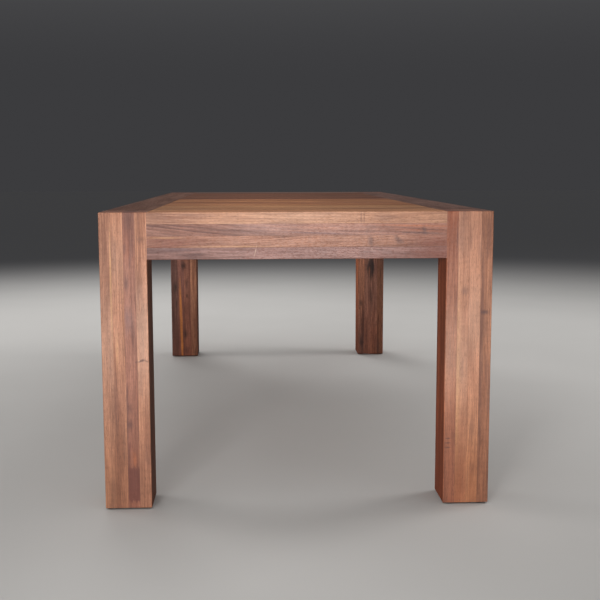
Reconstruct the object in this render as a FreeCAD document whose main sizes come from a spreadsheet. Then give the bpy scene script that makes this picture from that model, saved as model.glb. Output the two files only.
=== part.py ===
import FreeCAD, Part
import os

# A parsons dining table in laminated walnut. X runs across its width, Y along its length with the
# front end at -Y, and Z up from the floor under its middle. All lengths are in millimetres.

doc = FreeCAD.newDocument("ParsonsTable")
sheet = doc.addObject("Spreadsheet::Sheet", "dims")
driving = {
    "overall_length": 2286,
    "overall_width": 990,
    "overall_height": 762,
    # every stave, rail layer and field board is planed to one thickness
    "stock_thickness": 29.6,
    "laminations": 4,
    # eased edges: those of the frame, and the finer ones along the gap round the field
    "edge_ease": 1.5,
    "field_ease": 0.6,
    # faces this near to each other count as touching
    "nearness": 0.02,
    # how far the legs stand off the floor on their feet
    "leg_lift": 3.5,
    # loose tenons between rails and legs, with glue room past their ends
    "tenon_thickness": 14,
    "tenon_width": 40,
    "tenon_length": 100,
    "tenon_end_gap": 1,
    # the field: two glued panels of boards laid across the width, free to swell along Y
    "boards_per_panel": 6,
    "panel_end_gap": 1.6,
    "panel_mid_gap": 1.2,
    "panel_side_gap": 0.8,
    # ledgers round the inside of the rails, and the bearer under the joint of the two panels
    "ledger_depth": 32,
    "ledger_height": 30,
    "bearer_width": 70,
    "bearer_height": 60,
    "stub_length": 25,
    "stub_thickness": 30,
    "stub_height": 40,
    # screws, all of one diameter
    "screw_diameter": 4.5,
    "screw_head_diameter": 10,
    "screw_head_height": 3,
    "screw_fit": 0.05,
    "screw_tip_gap": 1,
    "rail_bite": 35,
    "panel_bite": 18,
    "slot_length": 12,
    "slot_width": 5.5,
    "screws_per_side_ledger": 5,
    "screws_per_end_ledger": 4,
    # levelling feet, each threaded into an insert in the leg's end
    "pad_diameter": 42,
    "pad_height": 9,
    "pad_ease": 1,
    "pad_recess_gap": 1.5,
    "pad_seat_gap": 0.2,
    "stem_diameter": 10,
    "stem_length": 45,
    "stem_fit": 0.06,
    "stem_tip_gap": 3,
    "insert_diameter": 16,
    "insert_length": 25,
    "insert_fit": 0.05,
}
for row, (alias, value) in enumerate(driving.items(), start=1):
    sheet.set(f"A{row}", alias)
    sheet.set(f"B{row}", str(value))
    sheet.setAlias(f"B{row}", alias)
doc.recompute()

half_width = "dims.overall_width / 2"
half_length = "dims.overall_length / 2"
top = "dims.overall_height"
stock = "dims.stock_thickness"
member = "dims.stock_thickness * dims.laminations"
inner_width = f"(dims.overall_width - 2 * {member})"
inner_length = f"(dims.overall_length - 2 * {member})"
panel_under = f"({top} - {stock})"
laminations = range(1, driving["laminations"] + 1)
sides = {"left": -1, "right": 1}
ends = {"front": -1, "back": 1}
AXIS_TURNS = {
    "x": FreeCAD.Rotation(FreeCAD.Vector(0, 0, 1), FreeCAD.Vector(1, 0, 0)),
    "y": FreeCAD.Rotation(FreeCAD.Vector(0, 0, 1), FreeCAD.Vector(0, 1, 0)),
    "z": FreeCAD.Rotation(),
}
nodes = []
boards = {}
reader = doc.addObject("App::FeaturePython", "reader")


def number(expression):
    """The value of an expression at the sheet's present sizes."""
    return float(reader.evalExpression(expression))


def inward(sign, half, start, size):
    """The lower end of a span that begins `start` inside the outer face on one side of the table."""
    if sign < 0:
        return f"-{half} + {start}"
    return f"{half} - ({start}) - ({size})"


def new_body(label):
    """A sub-part, exported under its label."""
    body = doc.addObject("PartDesign::Body", label)
    body.Label = label
    nodes.append(body)
    return body


def place(feature, low):
    """Binds a feature's position to three expressions."""
    for axis, value in zip("xyz", low):
        feature.setExpression(f"Placement.Base.{axis}", value)


def block(body, kind, name, low, size):
    """A box added to or cut from a body, between its lower corner and that corner plus its size."""
    feature = body.newObject(f"PartDesign::{kind}Box", name)
    for prop, value in zip(("Length", "Width", "Height"), size):
        feature.setExpression(prop, value)
    place(feature, low)
    return feature


def rod(body, kind, name, low, axis, diameter, length):
    """A cylinder added to or cut from a body, from the middle of its lower end along an axis."""
    feature = body.newObject(f"PartDesign::{kind}Cylinder", name)
    feature.setExpression("Radius", f"({diameter}) / 2")
    feature.setExpression("Height", length)
    feature.Placement.Rotation = AXIS_TURNS[axis]
    place(feature, low)
    return feature


def screw(body, name, shank_low, head_low, reach):
    """A screw's shank and head, drawn along the body's own Z."""
    shank = rod(body, "Additive", f"{name}_shank", shank_low, "z", "dims.screw_diameter", reach)
    head = rod(
        body,
        "Additive",
        f"{name}_head",
        head_low,
        "z",
        "dims.screw_head_diameter",
        "dims.screw_head_height",
    )
    return [shank, head]


def lay_down(body, axis):
    """Turns a body so that its own Z, along which its screws are drawn, lies along a level axis."""
    body.Placement.Rotation = AXIS_TURNS[axis]


def laid_down(axis, low):
    """A place in the table's frame as a body that was laid down along an axis sees it."""
    x, y, z = low
    return {"x": (f"-({z})", y, x), "y": (x, f"-({z})", y)}[axis]


def axis_of(body, role):
    """One of a body's own origin axes, as a pattern's direction."""
    found = [item for item in body.Origin.OriginFeatures if item.Role == role]
    return found[0], [""]


def repeat(body, features, *runs):
    """Repeats each feature along one or two axes. A run is an axis, its full length and a count."""
    for feature in features:
        doc.recompute()
        pattern = body.newObject("PartDesign::LinearPattern", feature.Label + "_row")
        pattern.Originals = [feature]
        for suffix, (role, length, count) in zip(("", "2"), runs):
            setattr(pattern, "Direction" + suffix, axis_of(body, role))
            pattern.setExpression("Length" + suffix, length)
            setattr(pattern, "Occurrences" + suffix, count)
        body.Tip = pattern


def board(label, low, size):
    """A planed board, kept with its place so that joints can find it."""
    body = new_body(label)
    block(body, "Additive", label + "_blank", low, size)
    boards[label] = low, size
    return body


def meet(low_a, size_a, low_b, size_b):
    """Whether two boxes share some room."""
    for start_a, length_a, start_b, length_b in zip(low_a, size_a, low_b, size_b):
        reach = min(number(f"{start_a} + {length_a}"), number(f"{start_b} + {length_b}"))
        if reach - max(number(start_a), number(start_b)) <= number("dims.nearness"):
            return False
    return True


def mortise(name, low, size, labels):
    """Cuts a box from those of the named boards that it meets."""
    for label in labels:
        if meet(low, size, *boards[label]):
            block(doc.getObject(label), "Subtractive", f"{label}_{name}", low, size)


def ease(body, size, *pairs):
    """Eases the edges of a body that lie on both planes of a pair. A plane is an axis and a place."""
    doc.recompute()
    base = body.Tip
    nearness = number("dims.nearness")
    chosen = []
    for planes in [[(axis, number(at)) for axis, at in pair] for pair in pairs]:
        for index, edge in enumerate(base.Shape.Edges, start=1):
            offsets = [
                abs(getattr(vertex.Point, axis) - at) for axis, at in planes for vertex in edge.Vertexes
            ]
            if max(offsets) < nearness:
                chosen.append(f"Edge{index}")
    chamfer = body.newObject("PartDesign::Chamfer", f"{body.Label}_eased_{len(body.Group)}")
    chamfer.Base = (base, chosen)
    chamfer.setExpression("Size", size)
    body.Tip = chamfer


def ease_below_rails(label, x, y):
    """Eases an upright edge of a stave from the leg's end to the underside of the rails. A square bar
    that stands on its corner, centred on the edge, takes the arris off."""
    bar_side = "dims.edge_ease * sqrt(2)"
    bar = block(
        doc.getObject(label),
        "Subtractive",
        f"{label}_arris_{len(doc.getObject(label).Group)}",
        (x, f"{y} - dims.edge_ease", "dims.leg_lift"),
        (bar_side, bar_side, f"{top} - {member} - dims.leg_lift"),
    )
    bar.Placement.Rotation = FreeCAD.Rotation(FreeCAD.Vector(0, 0, 1), 45)


# Legs: four staves each, stacked across the width and numbered from the outside in. They run the
# full height, so that their end grain shows at the corners of the top.
leg_height = f"({top} - dims.leg_lift)"
for end, end_sign in ends.items():
    for side, side_sign in sides.items():
        for number_in in laminations:
            board(
                f"{end}_{side}_leg_stave_{number_in}",
                (
                    inward(side_sign, half_width, f"{stock} * {number_in - 1}", stock),
                    inward(end_sign, half_length, "0", member),
                    "dims.leg_lift",
                ),
                (stock, member, leg_height),
            )

# Rails: four layers each, numbered from the top down, between the legs and flush with them.
for number_down in laminations:
    layer_low = f"{top} - {stock} * {number_down}"
    for end, end_sign in ends.items():
        board(
            f"{end}_rail_layer_{number_down}",
            (f"-{inner_width} / 2", inward(end_sign, half_length, "0", member), layer_low),
            (inner_width, member, stock),
        )
    for side, side_sign in sides.items():
        board(
            f"{side}_rail_layer_{number_down}",
            (inward(side_sign, half_width, "0", member), f"-{inner_length} / 2", layer_low),
            (member, inner_length, stock),
        )


def staves(end, side):
    return [f"{end}_{side}_leg_stave_{number_in}" for number_in in laminations]


def layers(rail):
    return [f"{rail}_rail_layer_{number_down}" for number_down in laminations]


# Loose tenons: two at each rail end, one over the other, on the first and third glue lines of the
# rail and in line with the middle of the second stave or board from its outer face.
tenon_inset = f"({stock} * 3 / 2 - dims.tenon_thickness / 2)"
mortise_length = "(dims.tenon_length + 2 * dims.tenon_end_gap)"
glue_lines = {"upper": f"{top} - {stock}", "lower": f"{top} - {stock} * 3"}
for name, glue_line in glue_lines.items():
    tenon_low = f"{glue_line} - dims.tenon_width / 2"
    for end, end_sign in ends.items():
        for side, side_sign in sides.items():
            mortise(
                f"{side}_{name}_mortise",
                (
                    inward(side_sign, half_width, f"{member} - {mortise_length} / 2", mortise_length),
                    inward(end_sign, half_length, tenon_inset, "dims.tenon_thickness"),
                    tenon_low,
                ),
                (mortise_length, "dims.tenon_thickness", "dims.tenon_width"),
                staves(end, side) + layers(end),
            )
            mortise(
                f"{end}_{name}_mortise",
                (
                    inward(side_sign, half_width, tenon_inset, "dims.tenon_thickness"),
                    inward(end_sign, half_length, f"{member} - {mortise_length} / 2", mortise_length),
                    tenon_low,
                ),
                ("dims.tenon_thickness", mortise_length, "dims.tenon_width"),
                staves(end, side) + layers(side),
            )

tenons = new_body("loose_tenons")
end_tenons = []
side_tenons = []
for name, glue_line in glue_lines.items():
    tenon_low = f"{glue_line} - dims.tenon_width / 2"
    end_tenons.append(
        block(
            tenons,
            "Additive",
            f"end_rail_{name}_tenon",
            (
                f"-{half_width} + {member} - dims.tenon_length / 2",
                f"-{half_length} + {tenon_inset}",
                tenon_low,
            ),
            ("dims.tenon_length", "dims.tenon_thickness", "dims.tenon_width"),
        )
    )
    side_tenons.append(
        block(
            tenons,
            "Additive",
            f"side_rail_{name}_tenon",
            (
                f"-{half_width} + {tenon_inset}",
                f"-{half_length} + {member} - dims.tenon_length / 2",
                tenon_low,
            ),
            ("dims.tenon_thickness", "dims.tenon_length", "dims.tenon_width"),
        )
    )
repeat(
    tenons,
    end_tenons,
    ("X_Axis", inner_width, 2),
    ("Y_Axis", f"dims.overall_length - 2 * {tenon_inset} - dims.tenon_thickness", 2),
)
repeat(
    tenons,
    side_tenons,
    ("X_Axis", f"dims.overall_width - 2 * {tenon_inset} - dims.tenon_thickness", 2),
    ("Y_Axis", inner_length, 2),
)

# Field: two panels of boards laid across the width, numbered from the end rail to the middle.
boards_per_panel = driving["boards_per_panel"]
panel_length = f"({half_length} - {member} - dims.panel_end_gap - dims.panel_mid_gap / 2)"
board_width = f"({panel_length} / dims.boards_per_panel)"
field_boards = range(1, boards_per_panel + 1)
for end, end_sign in ends.items():
    for number_in in field_boards:
        board_start = f"{member} + dims.panel_end_gap + {board_width} * {number_in - 1}"
        board(
            f"{end}_panel_board_{number_in}",
            (
                f"-{inner_width} / 2 + dims.panel_side_gap",
                inward(end_sign, half_length, board_start, board_width),
                panel_under,
            ),
            (f"{inner_width} - 2 * dims.panel_side_gap", board_width, stock),
        )

# Ledgers: strips screwed to the rails under the field. Those at the ends run from rail to rail, and
# those at the sides reach from them to the bearer.
side_ledger_length = f"({half_length} - {member} - dims.ledger_depth - dims.bearer_width / 2)"
side_ledger_start = f"({member} + dims.ledger_depth)"
ledger_low = f"{panel_under} - dims.ledger_height"
for end, end_sign in ends.items():
    board(
        f"{end}_ledger",
        (f"-{inner_width} / 2", inward(end_sign, half_length, member, "dims.ledger_depth"), ledger_low),
        (inner_width, "dims.ledger_depth", "dims.ledger_height"),
    )
    for side, side_sign in sides.items():
        board(
            f"{end}_{side}_ledger",
            (
                inward(side_sign, half_width, member, "dims.ledger_depth"),
                inward(end_sign, half_length, side_ledger_start, side_ledger_length),
                ledger_low,
            ),
            ("dims.ledger_depth", side_ledger_length, "dims.ledger_height"),
        )

# Bearer: a cross rail under the joint of the two panels, with a stub tenon in each side rail.
bearer = board(
    "centre_bearer",
    (f"-{inner_width} / 2", "-dims.bearer_width / 2", f"{panel_under} - dims.bearer_height"),
    (inner_width, "dims.bearer_width", "dims.bearer_height"),
)
stub_low = f"{panel_under} - dims.bearer_height / 2 - dims.stub_height / 2"
block(
    bearer,
    "Additive",
    "bearer_stubs",
    (f"-{inner_width} / 2 - dims.stub_length", "-dims.stub_thickness / 2", stub_low),
    (f"{inner_width} + 2 * dims.stub_length", "dims.stub_thickness", "dims.stub_height"),
)
stub_mortise_length = "(dims.stub_length + dims.tenon_end_gap)"
for side, side_sign in sides.items():
    mortise(
        "bearer_mortise",
        (
            inward(side_sign, half_width, f"{member} - {stub_mortise_length}", stub_mortise_length),
            "-dims.stub_thickness / 2",
            stub_low,
        ),
        (stub_mortise_length, "dims.stub_thickness", "dims.stub_height"),
        layers(side),
    )

# Field screws: one up through the side ledger into each end of each board. The ledgers are slotted
# along Y, so that the panels can swell and shrink.
screw_bore = "dims.screw_diameter + 2 * dims.screw_fit"
screw_inset = f"({member} + dims.ledger_depth / 2)"
field_screws = new_body("field_screws")
first_field_screws = []
for end, end_sign in ends.items():
    for number_in in field_boards:
        screw_start = f"{member} + dims.panel_end_gap + {board_width} * ({number_in} - 1 / 2)"
        screw_y = inward(end_sign, half_length, screw_start, "0")
        label = f"{end}_panel_board_{number_in}"
        for side, side_sign in sides.items():
            screw_x = inward(side_sign, half_width, screw_inset, "0")
            rod(
                doc.getObject(label),
                "Subtractive",
                f"{label}_{side}_pilot",
                (screw_x, screw_y, panel_under),
                "z",
                screw_bore,
                "dims.panel_bite + dims.screw_tip_gap",
            )
            mortise(
                f"slot_{number_in}",
                (f"{screw_x} - dims.slot_width / 2", f"{screw_y} - dims.slot_length / 2", ledger_low),
                ("dims.slot_width", "dims.slot_length", "dims.ledger_height"),
                [f"{end}_{side}_ledger"],
            )
    first_y = {
        "front": inward(end_sign, half_length, f"{member} + dims.panel_end_gap + {board_width} / 2", "0"),
        "back": f"dims.panel_mid_gap / 2 + {board_width} / 2",
    }[end]
    first_x = inward(sides["left"], half_width, screw_inset, "0")
    first_field_screws += screw(
        field_screws,
        f"{end}_field_screw",
        (first_x, first_y, ledger_low),
        (first_x, first_y, f"{ledger_low} - dims.screw_head_height"),
        "dims.ledger_height + dims.panel_bite",
    )
repeat(
    field_screws,
    first_field_screws,
    ("X_Axis", f"{inner_width} - dims.ledger_depth", 2),
    ("Y_Axis", f"{board_width} * (dims.boards_per_panel - 1)", boards_per_panel),
)

# Ledger screws: through the ledgers into the middle of the second rail layer.
ledger_screw_z = f"{top} - {stock} * 3 / 2"
screw_reach = "(dims.ledger_depth + dims.rail_bite)"
bore_length = "(dims.ledger_depth + dims.rail_bite + dims.screw_tip_gap)"
head_start = f"({member} + dims.ledger_depth)"

side_screws = new_body("side_ledger_screws")
lay_down(side_screws, "x")
first_side_screws = []
side_count = driving["screws_per_side_ledger"]
side_pitch = f"({side_ledger_length} / dims.screws_per_side_ledger)"
side_run = f"{side_pitch} * (dims.screws_per_side_ledger - 1)"
for end, end_sign in ends.items():
    first_y = f"{inward(end_sign, half_length, side_ledger_start, side_ledger_length)} + {side_pitch} / 2"
    for side, side_sign in sides.items():
        shank_low = inward(side_sign, half_width, f"{member} - dims.rail_bite", screw_reach)
        bore_low = inward(side_sign, half_width, f"{head_start} - {bore_length}", bore_length)
        head_low = inward(side_sign, half_width, head_start, "dims.screw_head_height")
        for label in (f"{side}_rail_layer_2", f"{end}_{side}_ledger"):
            body = doc.getObject(label)
            bore = rod(
                body,
                "Subtractive",
                f"{label}_{end}_bore",
                (bore_low, first_y, ledger_screw_z),
                "x",
                screw_bore,
                bore_length,
            )
            repeat(body, [bore], ("Y_Axis", side_run, side_count))
        first_side_screws += screw(
            side_screws,
            f"{end}_{side}_screw",
            laid_down("x", (shank_low, first_y, ledger_screw_z)),
            laid_down("x", (head_low, first_y, ledger_screw_z)),
            screw_reach,
        )
repeat(side_screws, first_side_screws, ("Y_Axis", side_run, side_count))

end_screws = new_body("end_ledger_screws")
lay_down(end_screws, "y")
first_end_screws = []
end_count = driving["screws_per_end_ledger"]
end_pitch = f"({inner_width} / dims.screws_per_end_ledger)"
end_run = f"{end_pitch} * (dims.screws_per_end_ledger - 1)"
first_x = f"-{inner_width} / 2 + {end_pitch} / 2"
for end, end_sign in ends.items():
    shank_low = inward(end_sign, half_length, f"{member} - dims.rail_bite", screw_reach)
    bore_low = inward(end_sign, half_length, f"{head_start} - {bore_length}", bore_length)
    head_low = inward(end_sign, half_length, head_start, "dims.screw_head_height")
    for label in (f"{end}_rail_layer_2", f"{end}_ledger"):
        body = doc.getObject(label)
        bore = rod(
            body,
            "Subtractive",
            f"{label}_bore",
            (first_x, bore_low, ledger_screw_z),
            "y",
            screw_bore,
            bore_length,
        )
        repeat(body, [bore], ("X_Axis", end_run, end_count))
    first_end_screws += screw(
        end_screws,
        f"{end}_screw",
        laid_down("y", (first_x, shank_low, ledger_screw_z)),
        laid_down("y", (first_x, head_low, ledger_screw_z)),
        screw_reach,
    )
repeat(end_screws, first_end_screws, ("X_Axis", end_run, end_count))

# Feet: each a pad on a threaded stem, partly sunk in a recess of the leg's end when it is screwed
# home. The stem runs in an insert on the glue line between the two middle staves.
recess_depth = "(dims.pad_height - dims.leg_lift + dims.pad_seat_gap)"
insert_low = f"(dims.leg_lift + {recess_depth})"
stem_bore_length = f"(dims.pad_height + dims.stem_length + dims.stem_tip_gap - {insert_low})"
leg_bores = {
    "foot_recess": ("dims.leg_lift", "dims.pad_diameter + 2 * dims.pad_recess_gap", recess_depth),
    "insert_bore": (insert_low, "dims.insert_diameter + 2 * dims.insert_fit", "dims.insert_length"),
    "stem_bore": (insert_low, "dims.stem_diameter + 2 * dims.pad_recess_gap", stem_bore_length),
}
middle_staves = driving["laminations"] // 2, driving["laminations"] // 2 + 1
for end, end_sign in ends.items():
    leg_y = inward(end_sign, half_length, f"{member} / 2", "0")
    for side, side_sign in sides.items():
        leg_x = inward(side_sign, half_width, f"{member} / 2", "0")
        for number_in in middle_staves:
            label = f"{end}_{side}_leg_stave_{number_in}"
            for name, (low, diameter, length) in leg_bores.items():
                rod(
                    doc.getObject(label),
                    "Subtractive",
                    f"{label}_{name}",
                    (leg_x, leg_y, low),
                    "z",
                    diameter,
                    length,
                )
        foot = new_body(f"{end}_{side}_foot")
        place(foot, (leg_x, leg_y, "0"))
        pad = rod(
            foot,
            "Additive",
            f"{foot.Label}_pad",
            ("0", "0", "0"),
            "z",
            "dims.pad_diameter",
            "dims.pad_height",
        )
        doc.recompute()
        rim = foot.newObject("PartDesign::Chamfer", f"{foot.Label}_rim")
        floor_edges = [
            f"Edge{index}"
            for index, edge in enumerate(pad.Shape.Edges, start=1)
            if edge.BoundBox.ZMax < number("dims.pad_ease")
        ]
        rim.Base = (pad, floor_edges)
        rim.setExpression("Size", "dims.pad_ease")
        foot.Tip = rim
        rod(
            foot,
            "Additive",
            f"{foot.Label}_stem",
            ("0", "0", "dims.pad_height"),
            "z",
            "dims.stem_diameter",
            "dims.stem_length",
        )

inserts = new_body("threaded_inserts")
leg_corner = (f"-{half_width} + {member} / 2", f"-{half_length} + {member} / 2", insert_low)
insert = rod(
    inserts, "Additive", "insert_barrel", leg_corner, "z", "dims.insert_diameter", "dims.insert_length"
)
thread = rod(
    inserts,
    "Subtractive",
    "insert_thread",
    leg_corner,
    "z",
    "dims.stem_diameter + 2 * dims.stem_fit",
    "dims.insert_length",
)
repeat(
    inserts,
    [insert, thread],
    ("X_Axis", f"dims.overall_width - {member}", 2),
    ("Y_Axis", f"dims.overall_length - {member}", 2),
)

# Eased edges: the outer corners, the rims of the top and of the leg ends, the legs below the rails,
# the undersides of the rails, and the gap round the field.
frame_ease = "dims.edge_ease"
gap_ease = "dims.field_ease"
top_face = ("z", top)
rail_under = ("z", f"{top} - {member}")
leg_end = ("z", "dims.leg_lift")
for end, end_sign in ends.items():
    outer_end = ("y", inward(end_sign, half_length, "0", "0"))
    inner_end = ("y", inward(end_sign, half_length, member, "0"))
    for side, side_sign in sides.items():
        outer_side = ("x", inward(side_sign, half_width, "0", "0"))
        inner_side = ("x", inward(side_sign, half_width, member, "0"))
        for label in staves(end, side):
            ease(
                doc.getObject(label),
                frame_ease,
                (outer_end, outer_side),
                (outer_end, top_face),
                (outer_side, top_face),
                *((leg_end, face) for face in (outer_end, inner_end, outer_side, inner_side)),
            )
        ease_below_rails(staves(end, side)[0], outer_side[1], inner_end[1])
        ease_below_rails(staves(end, side)[-1], inner_side[1], outer_end[1])
        ease_below_rails(staves(end, side)[-1], inner_side[1], inner_end[1])
    upper_layer = doc.getObject(layers(end)[0])
    ease(upper_layer, frame_ease, (outer_end, top_face))
    ease(upper_layer, gap_ease, (inner_end, top_face))
    ease(doc.getObject(layers(end)[-1]), frame_ease, (outer_end, rail_under), (inner_end, rail_under))

    panel_end = ("y", inward(end_sign, half_length, f"{member} + dims.panel_end_gap", "0"))
    panel_mid = ("y", inward(end_sign, "dims.panel_mid_gap / 2", "0", "0"))
    side_inset = f"{member} + dims.panel_side_gap"
    panel_sides = [("x", inward(sign, half_width, side_inset, "0")) for sign in sides.values()]
    rims = [(face, top_face) for face in (panel_end, panel_mid, *panel_sides)]
    for number_in in field_boards:
        ease(doc.getObject(f"{end}_panel_board_{number_in}"), gap_ease, *rims)
for side, side_sign in sides.items():
    outer_side = ("x", inward(side_sign, half_width, "0", "0"))
    inner_side = ("x", inward(side_sign, half_width, member, "0"))
    upper_layer = doc.getObject(layers(side)[0])
    ease(upper_layer, frame_ease, (outer_side, top_face))
    ease(upper_layer, gap_ease, (inner_side, top_face))
    ease(doc.getObject(layers(side)[-1]), frame_ease, (outer_side, rail_under), (inner_side, rail_under))

doc.recompute()
for item in doc.Objects:
    if {"Invalid", "Error"} & set(item.State):
        raise RuntimeError(f"{item.Label} did not compute: {item.State}")
for node in nodes:
    if node.Shape.isNull() or not node.Shape.isValid():
        raise RuntimeError(f"{node.Label} has no valid shape")

os.makedirs("parts", exist_ok=True)
for node in nodes:
    node.Shape.exportStep(f"parts/{node.Label}.step")
print(len(nodes), "sub-parts written")
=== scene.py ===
import math
import random
from dataclasses import dataclass

import bpy
from mathutils import Matrix, Vector


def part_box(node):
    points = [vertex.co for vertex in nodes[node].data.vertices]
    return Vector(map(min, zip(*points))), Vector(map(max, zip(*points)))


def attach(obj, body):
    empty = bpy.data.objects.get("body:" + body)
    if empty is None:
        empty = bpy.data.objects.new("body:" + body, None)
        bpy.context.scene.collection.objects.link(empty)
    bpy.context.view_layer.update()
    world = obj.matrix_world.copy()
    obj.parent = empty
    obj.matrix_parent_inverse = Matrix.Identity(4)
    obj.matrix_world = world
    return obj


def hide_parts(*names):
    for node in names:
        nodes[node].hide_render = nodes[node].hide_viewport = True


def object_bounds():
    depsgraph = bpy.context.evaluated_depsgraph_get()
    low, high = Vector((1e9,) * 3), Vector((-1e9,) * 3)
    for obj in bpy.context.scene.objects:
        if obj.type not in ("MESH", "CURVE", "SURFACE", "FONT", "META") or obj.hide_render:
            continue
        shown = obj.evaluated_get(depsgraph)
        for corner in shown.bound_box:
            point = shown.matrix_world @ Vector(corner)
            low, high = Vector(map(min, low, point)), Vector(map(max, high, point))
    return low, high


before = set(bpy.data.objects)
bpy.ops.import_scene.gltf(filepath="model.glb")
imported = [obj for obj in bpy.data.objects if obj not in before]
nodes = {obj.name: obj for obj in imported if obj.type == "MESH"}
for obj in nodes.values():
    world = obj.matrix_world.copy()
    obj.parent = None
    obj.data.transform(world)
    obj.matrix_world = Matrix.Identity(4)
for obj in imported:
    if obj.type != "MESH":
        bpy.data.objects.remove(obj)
cad_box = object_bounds()

# Legs: each is four walnut staves, planed, glued face to face and eased along the corners. They run
# the full height of the table, so that their end grain shows on the top. Oiled to a satin finish.
ENDS = ("front", "back")
SIDES = ("left", "right")
LAMINATIONS = (1, 2, 3, 4)
AXES = "xyz"
UP = AXES.index("z")


class Reading:
    """What one socket reads at each point of a surface. Sums on it add the Math nodes they need."""

    def __init__(self, tree, socket):
        self.tree = tree
        self.socket = socket

    def node(self, kind, settings, sockets, output=0):
        """Adds a node, with its settings first and then the values or links of its sockets."""
        made = self.tree.nodes.new(kind)
        for name, value in settings.items():
            setattr(made, name, value)
        for name, value in sockets.items():
            links = value if isinstance(value, list) else [value]
            for link in links:
                if isinstance(link, Reading):
                    self.tree.links.new(link.socket, made.inputs[name])
                else:
                    made.inputs[name].default_value = link
        return Reading(self.tree, made.outputs[output])

    def also(self, output):
        """Another output of the node that this one comes from."""
        return Reading(self.tree, self.socket.node.outputs[output])

    def math(self, operation, *terms):
        """A Math node on some terms."""
        return self.node("ShaderNodeMath", {"operation": operation}, dict(enumerate(terms)))

    def __add__(self, other):
        return self.math("ADD", self, other)

    def __sub__(self, other):
        return self.math("SUBTRACT", self, other)

    def __rsub__(self, other):
        return self.math("SUBTRACT", other, self)

    def __mul__(self, other):
        return self.math("MULTIPLY", self, other)

    def __truediv__(self, other):
        return self.math("DIVIDE", self, other)

    def __pow__(self, other):
        return self.math("POWER", self, other)

    def __abs__(self):
        return self.math("ABSOLUTE", self)

    __radd__ = __add__
    __rmul__ = __mul__

    def between(self, low, high):
        """0 at low, 1 at high and a smooth change from the one to the other."""
        ends = {"Value": self, "From Min": low, "From Max": high}
        return self.node("ShaderNodeMapRange", {"interpolation_type": "SMOOTHSTEP"}, ends)

    def vector(self, operation, *terms):
        """A Vector Math node on this reading and some more terms."""
        sockets = dict(enumerate((self, *terms)))
        output = 1 if operation == "LENGTH" else 0
        return self.node("ShaderNodeVectorMath", {"operation": operation}, sockets, output)

    def part(self, axis):
        """One of the three parts of a vector."""
        return self.node("ShaderNodeSeparateXYZ", {}, {"Vector": self}, axis)

    def times(self, factor):
        """A vector or a colour, times a number."""
        return self.node("ShaderNodeVectorMath", {"operation": "SCALE"}, {0: self, "Scale": factor})

    def over(self, under, cover):
        """The colour under, hidden by the colour of the cover as far as this reading goes."""
        return self.node("ShaderNodeMix", {"data_type": "RGBA"}, {0: self, 6: under, 7: cover}, 2)

    def feed(self, shader, name):
        """Links this reading to a socket of a shader, or of the end of a tree."""
        self.tree.links.new(self.socket, shader.inputs[name])


def colour(red, green, blue):
    """A colour as a paint chart gives it, turned to the linear light that the shader mixes."""
    parts = [channel / 255 for channel in (red, green, blue)]
    linear = [part / 12.92 if part <= 0.04045 else ((part + 0.055) / 1.055) ** 2.4 for part in parts]
    return (*linear, 1.0)


def tinted(tone, red, green, blue):
    """A colour with each of its channels made stronger or weaker."""
    return (tone[0] * red, tone[1] * green, tone[2] * blue, 1.0)


def new_finish(name, gloss):
    """A material, its shader, the place of a point on the piece and the way its face looks."""
    material = bpy.data.materials.new(name)
    material.use_nodes = True
    tree = material.node_tree
    shader = tree.nodes["Principled BSDF"]
    shader.inputs["Specular IOR Level"].default_value = gloss
    coordinates = tree.nodes.new("ShaderNodeTexCoord").outputs
    return material, shader, Reading(tree, coordinates["Object"]), Reading(tree, coordinates["Normal"])


def raise_grain(height, shader, depth, strength):
    """Feeds a height to the shader as a fine relief of a depth in metres."""
    relief = {"Strength": strength, "Distance": depth, "Height": height}
    height.node("ShaderNodeBump", {}, relief).feed(shader, "Normal")


def dress(piece, material):
    """Gives a piece one material."""
    piece.data.materials.clear()
    piece.data.materials.append(material)


def around(names):
    """The lowest and highest corners of the box round some nodes."""
    boxes = [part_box(name) for name in names]
    low = Vector(min(box[0][axis] for box in boxes) for axis in range(3))
    high = Vector(max(box[1][axis] for box in boxes) for axis in range(3))
    return low, high


# the middle colour of each shade of walnut, from pale to dark
SHADES = {
    "straw": colour(186, 135, 105),
    "tan": colour(178, 122, 93),
    "rose": colour(170, 116, 90),
    "brown": colour(160, 109, 86),
    "mauve": colour(155, 108, 91),
    "honey": colour(156, 107, 75),
    "lilac": colour(142, 101, 91),
    "red": colour(157, 97, 70),
    "plum": colour(149, 96, 77),
    "umber": colour(147, 95, 70),
    "smoke": colour(102, 73, 61),
    "dusk": colour(107, 70, 53),
}
# how much paler and darker than the middle colour the streaks are, in each channel
PALER = (0.40, 0.46, 0.48)
DARKER = (0.20, 0.25, 0.26)
# how much of the colour late wood and end grain keep, in each channel
LATE_WOOD_SHARES = (0.42, 0.38, 0.40)
END_GRAIN_SHARES = (0.44, 0.325, 0.26)
# the colours of what lies in the wood and on it, and of painted sheen
STAIN = colour(84, 56, 54)
PLUM = colour(104, 60, 56)
PORE = colour(70, 43, 32)
GLUE = colour(84, 52, 38)
SAPWOOD = colour(226, 142, 76)
GOLD = colour(212, 158, 112)
EMBER = colour(190, 112, 74)
RUST = colour(152, 82, 48)
# painted sheen: the pale veil of the front lamps' reflection, laid on the middles of the near legs and the
# front rail
PAINTED_SHEEN = colour(226, 184, 158)
# painted sheen, greyer, laid on the middle of the front rail's second layer
PAINTED_GREY_SHEEN = colour(190, 160, 154)
SLATE = colour(116, 88, 88)
SCAR = colour(222, 186, 162)
KNOT = colour(52, 32, 28)

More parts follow.
